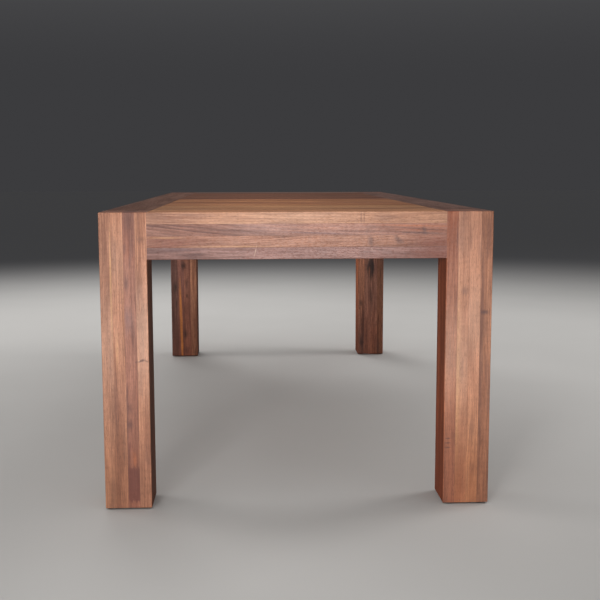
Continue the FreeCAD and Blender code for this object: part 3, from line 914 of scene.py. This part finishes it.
def end_tree(start, shape):
    """Sets a shape on each point of the tree's own geometry, along the point's aim."""
    aim = start.node("GeometryNodeInputNamedAttribute", {"data_type": "FLOAT_VECTOR"}, {"Name": "aim"})
    turn = start.node("FunctionNodeAlignRotationToVector", {"axis": "Z"}, {"Vector": aim})
    placed = {"Points": start, "Instance": shape, "Rotation": turn}
    made = start.node("GeometryNodeInstanceOnPoints", {}, placed)
    return made.node("GeometryNodeRealizeInstances", {}, {"Geometry": made})


def grow(name, tree, sizes, points, aims):
    """Runs a tree on points, each with the way it aims, and keeps the result as a plain mesh."""
    seeds = bpy.data.meshes.new(name)
    seeds.from_pydata(points, [], [])
    aim = seeds.attributes.new("aim", "FLOAT_VECTOR", "POINT")
    aim.data.foreach_set("vector", [part for way in aims for part in way])
    piece = bpy.data.objects.new(name, seeds)
    scene.collection.objects.link(piece)
    modifier = piece.modifiers.new(name, "NODES")
    modifier.node_group = tree
    for socket in tree.interface.items_tree:
        if socket.name in sizes:
            modifier[socket.identifier] = sizes[socket.name]
    graph = bpy.context.evaluated_depsgraph_get()
    grown = bpy.data.meshes.new_from_object(piece.evaluated_get(graph))
    piece.modifiers.remove(modifier)
    while grown.materials[0] is None:
        grown.materials.pop(index=0)
    piece.data = grown
    return piece


screw_tree, screw = new_tree("pan_head_screw", SCREW_SIZES)
start = screw["Geometry"]
core_length = screw["Length"] - screw["Tip Length"]
core = rod(start, screw["Core Width"], core_length, SCREW_CORNERS)
tip = {"Vertices": SCREW_CORNERS, "Radius Top": 0.0, "Radius Bottom": screw["Core Width"] / 2}
tip = start.node("GeometryNodeMeshCone", {}, tip | {"Depth": screw["Tip Length"]})
ridge = (screw["Width"] - screw["Core Width"]) / 2 * SCREW_THREAD_SHARE
winding = thread(start, screw["Width"], screw["Pitch"], screw["Thread Length"], ridge, SCREW_CORNERS)
winding = lift(winding, core_length - screw["Thread Length"])
head = rod(start, screw["Head Width"], screw["Head Height"], corners=32, rings=5, fills=2)
domed = start.node("GeometryNodeInputPosition", {}, {}).part(UP) / screw["Head Height"]
head = widen(head, (1 - HEAD_DOME_SHARE * domed ** 2.0) ** 0.5)
slit = screw["Head Width"] * RECESS_SLIT_SHARE
arm = screw["Head Width"] * RECESS_ARM_SHARE
recess = []
for across, along, level in zip((arm, slit), (slit, arm), RECESS_LEVEL_SHARES):
    size = start.node("ShaderNodeCombineXYZ", {}, {"X": across, "Y": along, "Z": screw["Head Height"]})
    block = start.node("GeometryNodeMeshCube", {}, {"Size": size})
    recess.append(lift(block, screw["Head Height"] * level))
cut = {"Mesh 1": head, "Mesh 2": recess}
head = start.node("GeometryNodeMeshBoolean", {"operation": "DIFFERENCE"}, cut)
upside_down = {"Geometry": head, "Rotation": (math.pi, 0.0, 0.0)}
head = start.node("GeometryNodeTransform", {}, upside_down)
whole = join(core, lift(tip, core_length), winding, head)
finished = coat(end_tree(start, whole), zinc)
finished.feed(screw_tree.nodes.new("NodeGroupOutput"), "Geometry")


def set_screws(node, sizes, points, aims):
    """The screws of one node, in the place of its plain rods."""
    piece = grow(node + "_detailed", screw_tree, SCREW_SIZES | sizes, points, aims)
    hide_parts(node)
    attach(piece, "table")


second_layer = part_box("front_rail_layer_2")
screw_level = (second_layer[0].z + second_layer[1].z) / 2


def screw_ledgers(node, ledgers, axis, count):
    """Screws along an axis, evenly spaced on the inner face of each ledger and driven outwards."""
    along = 1 - axis
    seats = []
    aims = []
    for ledger in ledgers:
        low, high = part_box(ledger)
        outward = math.copysign(1, low[axis])
        step = (high[along] - low[along]) / count
        for number in range(count):
            seat = [0.0, 0.0, screw_level]
            seat[axis] = high[axis] if outward < 0 else low[axis]
            seat[along] = low[along] + step * (number + 0.5)
            aim = [0.0, 0.0, 0.0]
            aim[axis] = outward
            seats.append(seat)
            aims.append(aim)
    set_screws(node, {}, seats, aims)


screw_ledgers("side_ledger_screws", SIDE_LEDGERS, AXES.index("x"), SCREWS_PER_SIDE_LEDGER)
screw_ledgers("end_ledger_screws", END_LEDGERS, AXES.index("y"), SCREWS_PER_END_LEDGER)

# Field: two glued panels of walnut boards laid across the table, flush with the frame round them. The
# front panel is light and the back one dark, and they meet in a straight joint at mid-length.
FIELD_SHADES = {"front": "honey", "back": "dusk"}
FIELD_TINTS = {
    "front": (
        (0.89, 0.94, 0.96),
        (0.95, 1.03, 1.00),
        (0.81, 0.76, 0.70),
        (0.71, 0.65, 0.65),
        (0.83, 0.80, 0.73),
        (0.74, 0.67, 0.63),
    ),
    "back": (
        (0.78, 0.80, 0.83),
        (0.85, 0.78, 0.70),
        (0.89, 0.83, 0.77),
        (0.80, 0.82, 0.78),
        (0.92, 0.87, 0.80),
        (0.77, 0.70, 0.68),
    ),
}
FIELD_GLOSS = 0.05
# the heart of each log: how far aside it may be from under the middle of the board, and how far below
FIELD_PITH_ASIDE = 0.05
FIELD_PITH_BELOW = 0.07
BOARDS = range(1, 7)
for end, shade in FIELD_SHADES.items():
    boards = [f"{end}_panel_board_{number}" for number in BOARDS]
    member = around(boards)
    for board, tint in zip(boards, FIELD_TINTS[end]):
        pith = (random.Random(board).uniform(-FIELD_PITH_ASIDE, FIELD_PITH_ASIDE), -FIELD_PITH_BELOW)
        figure = Figure(pith=pith, tint=tint, bold=0.8, contrast=1.4)
        dress(nodes[board], walnut(board, "x", "y", shade, member, FIELD_GLOSS, figure))

# Field screws: one up through a slot in the side ledger into each end of each board, so that the
# boards can move with the seasons. They are shorter than the ledger screws.
FIELD_SCREW_SIZES = {"Length": 0.048, "Thread Length": 0.034}
field_seats = []
for end in ENDS:
    for side in SIDES:
        ledger_low, ledger_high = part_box(f"{end}_{side}_ledger")
        for number in BOARDS:
            board_low, board_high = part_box(f"{end}_panel_board_{number}")
            across = (ledger_low.x + ledger_high.x) / 2
            field_seats.append((across, (board_low.y + board_high.y) / 2, ledger_low.z))
set_screws("field_screws", FIELD_SCREW_SIZES, field_seats, [(0, 0, 1)] * len(field_seats))

# Levelling feet: a moulded nylon pad with a ribbed rim to turn it by, on a zinc-plated threaded stem
# that screws into the brass insert.
NYLON = colour(34, 33, 33)
NYLON_SCUFFED = colour(66, 64, 62)
SCUFF_SIZE = (0.003, 0.003, 0.0015)
MOULD_SIZE = (0.0008, 0.0008, 0.0008)
MOULD_DEPTH = 0.0002
SCUFFED_HEIGHT = 0.003
FOOT_SIZES = {
    "Pad Width": 0.042,
    "Pad Height": 0.009,
    "Pad Ease": 0.001,
    "Rib Depth": 0.0012,
    "Ribs": 30.0,
    "Stem Width": 0.010,
    "Core Width": 0.0084,
    "Stem Length": 0.045,
    "Pitch": 0.0015,
}
# the levels between which the ribs of the rim come up, and between which they run out
RIBS_START = (0.0012, 0.0032)
RIBS_END = (0.0068, 0.0085)
# the thread of the stem: its section, as on the screws, and how much shorter than the stem it is
STEM_THREAD_SHARE = 0.7
STEM_THREAD_SHORTER = 0.002

nylon, nylon_shader, nylon_place, _ = new_finish("moulded_nylon", gloss=0.4)
scuffs = patches(nylon_place, SCUFF_SIZE, detail=3.0).between(0.52, 0.68)
mould = patches(nylon_place, MOULD_SIZE, detail=1.0)
worn_low = 1 - nylon_place.part(UP).between(0.0, SCUFFED_HEIGHT)
(scuffs * (0.25 + 0.6 * worn_low)).over(NYLON, NYLON_SCUFFED).feed(nylon_shader, "Base Color")
(0.46 + 0.2 * scuffs + 0.08 * mould).feed(nylon_shader, "Roughness")
raise_grain(mould - scuffs, nylon_shader, MOULD_DEPTH, strength=0.25)

foot_tree, foot = new_tree("levelling_foot", FOOT_SIZES)
start = foot["Geometry"]
pad = rod(start, foot["Pad Width"], foot["Pad Height"], corners=240, rings=9, fills=3)
place = start.node("GeometryNodeInputPosition", {}, {})
level = place.part(UP)
around_rim = place.math("ARCTAN2", place.part(1), place.part(0))
ribs = 0.5 - 0.5 * around_rim.math("COSINE", around_rim * foot["Ribs"])
band = level.between(*RIBS_START) * (1 - level.between(*RIBS_END))
eased = 1 - level.between(0.0, foot["Pad Ease"])
drawn_in = foot["Rib Depth"] * ribs * band + foot["Pad Ease"] * eased
pad = coat(widen(pad, 1 - drawn_in / (foot["Pad Width"] / 2)), nylon)
stem = rod(start, foot["Core Width"], foot["Stem Length"], corners=24)
ridge = (foot["Stem Width"] - foot["Core Width"]) / 2 * STEM_THREAD_SHARE
thread_length = foot["Stem Length"] - STEM_THREAD_SHORTER
winding = thread(start, foot["Stem Width"], foot["Pitch"], thread_length, ridge, corners=20)
stem = coat(lift(join(stem, lift(winding, ridge)), foot["Pad Height"]), zinc)
end_tree(start, join(pad, stem)).feed(foot_tree.nodes.new("NodeGroupOutput"), "Geometry")
for end in ENDS:
    for side in SIDES:
        node = f"{end}_{side}_foot"
        low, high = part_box(node)
        middle = (low + high) / 2
        piece = grow(node + "_detailed", foot_tree, FOOT_SIZES, [(middle.x, middle.y, low.z)], [(0, 0, 1)])
        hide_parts(node)
        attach(piece, node)

# Floor, light and camera: a plain pale floor, darkened far off by painted shade, a dim surround that is
# pale overhead, a soft key and a low strip lamp in front, soft fills behind, at the sides and over the
# top, and the photograph's view.
FLOOR_HALF = 40.0
FLOOR_PALE = colour(192, 190, 187)
FLOOR_DULL = colour(186, 184, 181)
# painted shade: the floor darkens far off, as if it lay beyond the lamps' light
FLOOR_FAR_SHADE = colour(78, 78, 80)
FLOOR_SHADE_SIZE = (0.5, 0.5, 0.5)
FAR_SHADE_FADE = (2.4, 7.0)
HORIZON = (0.045, 0.045, 0.048, 1.0)
OVERHEAD = (0.68, 0.68, 0.68, 1.0)
SKY_RISE = (0.08, 0.95)
# the view fitted to the photograph: lens in millimetres, place in metres, turns in degrees
SENSOR_WIDTH = 36.0
LENS_LENGTH = 60.90
CAMERA_PLACE = (-0.10953, -3.68197, 0.86448)
CAMERA_YAW = -2.5931
CAMERA_PITCH = -7.2791
CAMERA_ROLL = 0.1199

floor_mesh = bpy.data.meshes.new("floor")
floor_corners = [(x * FLOOR_HALF, y * FLOOR_HALF, 0) for x, y in ((-1, -1), (1, -1), (1, 1), (-1, 1))]
floor_mesh.from_pydata(floor_corners, [], [(0, 1, 2, 3)])
floor = bpy.data.objects.new("floor", floor_mesh)
scene.collection.objects.link(floor)
floor_material, floor_shader, floor_place, _ = new_finish("pale_floor", gloss=0.1)
floor_shader.inputs["Roughness"].default_value = 0.9
floor_near = patches(floor_place, FLOOR_SHADE_SIZE).over(FLOOR_DULL, FLOOR_PALE)
# painted shade far off, where the floor leaves the lamps' light
painted_far_shade = floor_place.vector("LENGTH").between(*FAR_SHADE_FADE)
painted_far_shade.over(floor_near, FLOOR_FAR_SHADE).feed(floor_shader, "Base Color")
dress(floor, floor_material)

world = bpy.data.worlds.new("surround")
scene.world = world
world.use_nodes = True
sky = world.node_tree
direction = Reading(sky, sky.nodes.new("ShaderNodeTexCoord").outputs["Generated"])
direction.part(UP).between(*SKY_RISE).over(HORIZON, OVERHEAD).feed(sky.nodes["Background"], "Color")


def soft_lamp(name, place, aim, size, power, spread=180, sheen=False):
    """A panel lamp, out of the camera's sight: its width and height, its power in watts, the angle in
    degrees over which it throws light, and whether glossy surfaces mirror it."""
    panel = bpy.data.lights.new(name, "AREA")
    panel.shape = "RECTANGLE"
    panel.size, panel.size_y = size
    panel.energy = power
    panel.spread = math.radians(spread)
    lamp = bpy.data.objects.new(name, panel)
    scene.collection.objects.link(lamp)
    towards = Vector(aim) - Vector(place)
    turn = towards.to_track_quat("-Z", "Y").to_matrix().to_4x4()
    lamp.matrix_world = Matrix.Translation(place) @ turn
    lamp.visible_camera = False
    lamp.visible_glossy = sheen


KEY_AIM = (0.02, FRONT, 0.5)
STRIP_AIM = (0.1, FRONT, 0.5)
FILL_AIM = (0.0, 0.0, 0.4)
# a hair off straight down, so that the long side of the lamp lies along the table
TOP_AIM = (-0.09, -0.199, cad_box[1][2])
soft_lamp("key", place=(-0.9, -3.7, 1.2), aim=KEY_AIM, size=(0.8, 0.6), power=3.7, spread=50)
soft_lamp(
    "strip", place=(0.1, -3.8, 0.26), aim=STRIP_AIM, size=(1.7, 0.5), power=6.2, spread=80, sheen=True
)
soft_lamp("back_fill", place=(-1.4, 4.4, 3.2), aim=FILL_AIM, size=(2.4, 1.6), power=80)
soft_lamp("left_fill", place=(-4.2, 0.9, 1.75), aim=FILL_AIM, size=(1.8, 1.0), power=46)
soft_lamp("right_fill", place=(4.2, 0.6, 3.4), aim=FILL_AIM, size=(2.0, 1.4), power=75)
soft_lamp("over_top", place=(-0.09, -0.2, 1.52), aim=TOP_AIM, size=(0.16, 1.9), power=0.95, spread=62)

lens = bpy.data.cameras.new("camera")
lens.sensor_width = SENSOR_WIDTH
lens.lens = LENS_LENGTH
camera = bpy.data.objects.new("camera", lens)
scene.collection.objects.link(camera)
turn = (
    Matrix.Rotation(math.radians(CAMERA_YAW), 4, "Z")
    @ Matrix.Rotation(math.radians(90 + CAMERA_PITCH), 4, "X")
    @ Matrix.Rotation(math.radians(-CAMERA_ROLL), 4, "Z")
)
camera.matrix_world = Matrix.Translation(CAMERA_PLACE) @ turn
scene.camera = camera
scene.view_settings.view_transform = "Standard"
